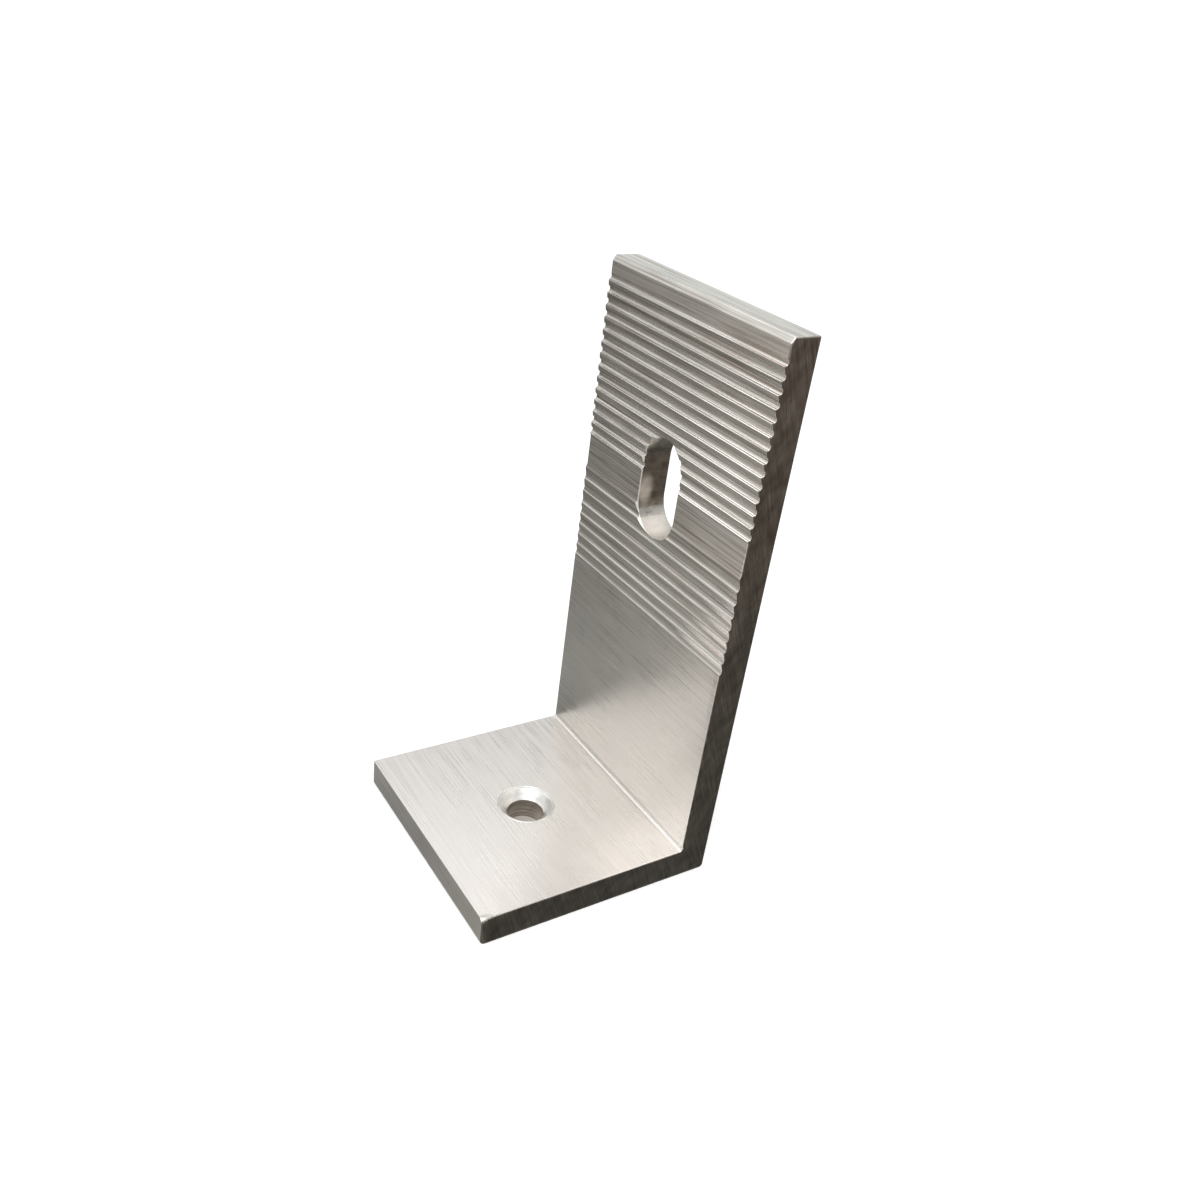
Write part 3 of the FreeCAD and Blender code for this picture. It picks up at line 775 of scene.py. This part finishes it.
def makeClamp(materials):
    mesh = bpy.data.meshes.new("solarFoot")
    draft = bpy.data.objects.new("draft", mesh)
    bpy.context.scene.collection.objects.link(draft)
    values = {socketName(name): size if isinstance(size, tuple) else float(size)
              for name, size in clampSizes.items()}
    values.update({
        "Width": clampWidth, "Free Edge": clampLow.x, "Back Face": clampHigh.x, "Inner Face": innerFace,
        "Top Edge": clampHigh.z, "Strip Low": topCrest + toothBands["upper"][0] / 2, "Gap High": upperLow,
        "Gap Low": lowerTop + clampSizes["crestLand"], "Slot Side Shift": slotPlace.y,
        "Slot Height": slotPlace.z, "Hole Place": holePlace.x,
        "Bore Radius": mounts["screw_hole"]["dims"]["r_mm"] * mm, **materials})
    for band, numbers in toothBands.items():
        for label, number in zip(grooveLabels, (lowestCrests[band],) + numbers):
            values[f"{band} {label}"] = float(number)
    addTree(draft, makeBlankTree(), values)
    broken = draft.modifiers.new("sawnEdges", "BEVEL")
    broken.limit_method = "WEIGHT"
    broken.width = clampSizes["sawnEdgeRound"]
    broken.segments = fineness["sawnEdgeSteps"]
    broken.use_clamp_overlap = False
    groups = {"groove": makeGrooveTree(), "slot": makeSlotTree(), "hole": makeHoleTree()}
    addTree(draft, makeCutTree(groups), values)
    bpy.context.view_layer.update()
    evaluated = draft.evaluated_get(bpy.context.evaluated_depsgraph_get())
    finished = bpy.data.meshes.new_from_object(evaluated)
    finished.name = "solarFoot"
    bpy.data.objects.remove(draft)
    clamp = bpy.data.objects.new("solarFoot", finished)
    bpy.context.scene.collection.objects.link(clamp)
    if finished.materials[0] is None:
        finished.materials.pop(index=0)  # the slot of the blank before it had a material
    finished.shade_smooth()
    finished.set_sharp_from_angle(angle=fineness["sharpAngle"])
    flat = clamp.modifiers.new("flatFaces", "WEIGHTED_NORMAL")
    flat.keep_sharp = True
    flat.weight = fineness["flatWeight"]
    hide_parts("l_clamp")
    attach(clamp, "root")
    print(f"clamp: {len(finished.vertices)} vertices, {len(finished.polygons)} faces")


# The studio: a pale floor, a sky that is brighter overhead, a lamp, and cards that only the metal mirrors

studio = {
    "floorSize": 8.0,
    "floorColor": (0.93, 0.93, 0.93),
    "floorGlow": 0.3,
    # sine of the height above the horizon, how bright the sky is there, and the share of red it has
    "sky": [(0.0, 0.9), (0.3, 0.94), (0.42, 0.93), (0.55, 0.48), (0.615, 0.48), (0.641, 1.4),
            (0.664, 2.5), (0.70, 2.45), (0.76, 1.8), (0.82, 1.2), (1.0, 1.0)],
    "skyRed": [(0.0, 0.94), (0.4, 0.96), (0.6, 1.0), (1.0, 1.0)],
    # how much brighter it is towards a side, the more the higher
    "skySlope": (-0.4, -0.45, 0.0),
    # the share of its light that falls on dull surfaces
    "skyFill": 0.72,
    # painted shade: the floor seen through the screw hole is darker and does not glow, as it lies under the
    # clamp
    "holeFloorShadeColor": (0.50, 0.485, 0.465),
    "holeFloorShadeReach": (3.3 * mm, 2.9 * mm),
}
# place in metres, size and watts
lamps = {
    "keySoftbox": ((-0.28, -0.2, 0.42), 0.3, 0.7),
}
# A card glows in shades between two points of a ramp. The ramp runs along a direction from the card's own
# place, in metres, or, where it turns, with the direction in which a point lies. Corners are seen from that
# place. Rings are distances from it, each with a factor for the level and one for the share of the second
# shade.
cards = {
    "tableCard": {
        "place": (0.015, -0.06, 0.0001), "low": (-0.9, -0.9, 0.0), "high": (0.9, 0.9, 0.0),
        "turns": True, "along": (-1.0, 0.0, 0.0), "from": 0.35, "to": 0.85,
        "shades": ((0.188, 0.19, 0.178), (0.69, 0.655, 0.617)),
        "rings": [(0.06, 1.12, 0.28), (0.075, 1.07, 0.26), (0.085, 1.15, 0.37), (0.10, 1.58, 0.66),
                  (0.125, 1.2, 0.82), (0.16, 1.0, 1.05), (0.204, 0.78, 1.3), (0.35, 0.65, 1.75),
                  (0.45, 0.6, 1.8)]},
    "farWall": {
        "place": (0.015, -0.06, 0.0001), "low": (-1.6, 0.95, 0.0), "high": (-0.1, 0.95, 0.36),
        "turns": True, "along": (-1.0, 0.0, 0.0), "from": 0.45, "to": 0.85,
        "shades": ((0.15, 0.154, 0.144), (0.50, 0.475, 0.45)), "rings": []},
    "darkCard": {
        "place": (-0.019, -0.0201, 0.0002), "low": (0.0, -0.5, 0.0), "high": (0.7, 0.0, 0.0),
        "turns": False, "along": (0.6, -0.8, 0.0), "from": 0.02, "to": 0.4,
        "shades": ((0.112, 0.113, 0.103), (0.205, 0.156, 0.117)), "rings": []},
    "darkWall": {
        "place": (0.45, -0.52, 0.0), "low": (-0.55, 0.0, 0.0), "high": (0.55, 0.0, 0.22),
        "turns": False, "along": (0.0, 0.0, 1.0), "from": 0.0, "to": 0.3,
        "shades": ((0.205, 0.156, 0.117), (0.28, 0.22, 0.17)), "rings": []},
}


# a flat sheet between two opposite corners; it lies, or stands where both corners share a Y
def addSheet(name, place, low, high):
    corners = [low, (high[0], low[1], low[2]), high, (low[0], high[1], high[2])]
    mesh = bpy.data.meshes.new(name)
    mesh.from_pydata(corners, [], [(0, 1, 2, 3)])
    sheet = bpy.data.objects.new(name, mesh)
    sheet.location = place
    bpy.context.scene.collection.objects.link(sheet)
    material = bpy.data.materials.new(name)
    material.use_nodes = True
    mesh.materials.append(material)
    shader = material.node_tree.nodes["Principled BSDF"]
    shader.inputs["Roughness"].default_value = 1.0
    shader.inputs["Specular IOR Level"].default_value = 0.0
    return sheet, material.node_tree, shader


# a level that follows stops, each a place and its level
def levelRamp(tree, value, stops):
    widest = stops[-1][0]
    highest = max(level for place, level in stops)
    ramp = addNode(tree, "ShaderNodeValToRGB", {0: calc(tree, "DIVIDE", value, widest)})
    for _ in stops[2:]:
        ramp.color_ramp.elements.new(0.5)
    for element, (place, level) in zip(ramp.color_ramp.elements, stops):
        element.position = place / widest
        element.color = (level / highest,) * 3 + (1.0,)
    return calc(tree, "MULTIPLY", ramp.outputs[0], highest)


def addCard(name, card):
    sheet, tree, shader = addSheet(name, card["place"], card["low"], card["high"])
    place = objectPlace(tree)
    distance = vectorCalc(tree, "LENGTH", place)
    if card["turns"]:
        place = vectorCalc(tree, "NORMALIZE", place)
    along = vectorCalc(tree, "DOT_PRODUCT", place, card["along"])
    share = shareOf(tree, along, card["from"], card["to"])
    level = 1.0
    if card["rings"]:
        level = levelRamp(tree, distance, [(reach, bright) for reach, bright, warm in card["rings"]])
        more = levelRamp(tree, distance, [(reach, warm) for reach, bright, warm in card["rings"]])
        share = calc(tree, "MULTIPLY", share, more)
    first, second = (Vector(shade) for shade in card["shades"])
    glow = vectorCalc(tree, "ADD", vectorCalc(tree, "SCALE", second - first, scale=share), first)
    plug(tree, vectorCalc(tree, "SCALE", glow, scale=level), shader.inputs["Emission Color"])
    shader.inputs["Emission Strength"].default_value = 1.0
    shader.inputs["Base Color"].default_value = (0.0, 0.0, 0.0, 1.0)
    sheet.visible_camera = False
    sheet.visible_diffuse = False
    sheet.visible_shadow = False
    sheet.visible_transmission = False


# a floor that the camera sees as white paper, with the clamp's shadow on it and a painted shade under the
# screw hole
def addFloor():
    half = studio["floorSize"] / 2
    _, tree, shader = addSheet("floor", (0.0, 0.0, 0.0), (-half, -half, 0.0), (half, half, 0.0))
    # painted shade on the floor under the screw hole
    away = vectorCalc(tree, "SUBTRACT", objectPlace(tree), (holePlace.x, holePlace.y, 0.0))
    inHole = shareOf(tree, vectorCalc(tree, "LENGTH", away), *studio["holeFloorShadeReach"])
    paper = Vector(studio["floorColor"])
    darker = vectorCalc(tree, "SCALE", Vector(studio["holeFloorShadeColor"]) - paper, scale=inHole)
    plug(tree, vectorCalc(tree, "ADD", darker, paper), shader.inputs["Base Color"])
    shader.inputs["Emission Color"].default_value = (1.0, 1.0, 1.0, 1.0)
    seen = addNode(tree, "ShaderNodeLightPath").outputs["Is Camera Ray"]
    glow = calc(tree, "MULTIPLY", seen, studio["floorGlow"])
    glow = calc(tree, "MULTIPLY", glow, calc(tree, "SUBTRACT", 1.0, inHole))
    plug(tree, glow, shader.inputs["Emission Strength"])


def addLamp(name, place, across, watts):
    lamp = bpy.data.lights.new(name, "AREA")
    lamp.size = across
    lamp.energy = watts
    holder = bpy.data.objects.new(name, lamp)
    holder.location = place
    holder.rotation_euler = (-Vector(place)).to_track_quat("-Z", "Y").to_euler()
    bpy.context.scene.collection.objects.link(holder)


# the camera sees the sky as plain white
def makeSky():
    world = bpy.data.worlds.new("studioSky")
    world.use_nodes = True
    bpy.context.scene.world = world
    tree = world.node_tree
    direction = addNode(tree, "ShaderNodeTexCoord").outputs["Generated"]
    height = partsOf(tree, direction)["Z"]
    rays = addNode(tree, "ShaderNodeLightPath").outputs
    mirrored = calc(tree, "MAXIMUM", rays["Is Glossy Ray"], rays["Is Transmission Ray"])
    sideways = vectorCalc(tree, "DOT_PRODUCT", direction, studio["skySlope"])
    sideways = calc(tree, "MULTIPLY_ADD", sideways, height, 1.0)
    lit = calc(tree, "MULTIPLY", levelRamp(tree, height, studio["sky"]), sideways)
    strength = blendOf(tree, mirrored, calc(tree, "MULTIPLY", lit, studio["skyFill"]), lit)
    strength = blendOf(tree, rays["Is Camera Ray"], strength, 1.0)
    red = blendOf(tree, rays["Is Camera Ray"], levelRamp(tree, height, studio["skyRed"]), 1.0)
    sky = tree.nodes["Background"]
    plug(tree, pointOf(tree, red, 1.0, 1.0), sky.inputs["Color"])
    plug(tree, strength, sky.inputs["Strength"])


def makeStudio():
    addFloor()
    for name, card in cards.items():
        addCard(name, card)
    for name, values in lamps.items():
        addLamp(name, *values)
    makeSky()
    bpy.context.scene.view_settings.view_transform = "Standard"
    print("studio: floor, cards, lamps and sky")


# The camera, placed where the photograph was taken from

view = {
    "place": (-77.5 * mm, -117.2 * mm, 120.0 * mm),
    "lookAlong": (0.4933, 0.694, -0.5243),
    "pictureDown": (-0.1918, -0.5012, -0.8438),
    "pictureWide": 1200,
    "focalPixels": 1105.8,
    "opticalCentre": (585.6, 656.7),
    "filmWidth": 36.0,
    "nearest": 1.0 * mm,
    "farthest": 50.0,
}


def makeCamera():
    wide = view["pictureWide"]
    data = bpy.data.cameras.new("photoCamera")
    data.sensor_width = view["filmWidth"]
    data.lens = view["focalPixels"] / wide * view["filmWidth"]
    data.shift_x = 0.5 - view["opticalCentre"][0] / wide
    data.shift_y = view["opticalCentre"][1] / wide - 0.5
    data.clip_start = view["nearest"]
    data.clip_end = view["farthest"]
    back = -Vector(view["lookAlong"]).normalized()
    up = -Vector(view["pictureDown"])
    right = up.cross(back).normalized()
    up = back.cross(right)
    camera = bpy.data.objects.new("photoCamera", data)
    turn = Matrix((right, up, back)).transposed().to_4x4()
    camera.matrix_world = Matrix.Translation(view["place"]) @ turn
    bpy.context.scene.collection.objects.link(camera)
    bpy.context.scene.camera = camera
    print("camera placed")


makeCamera()
makeStudio()
makeClamp(makeMaterials())
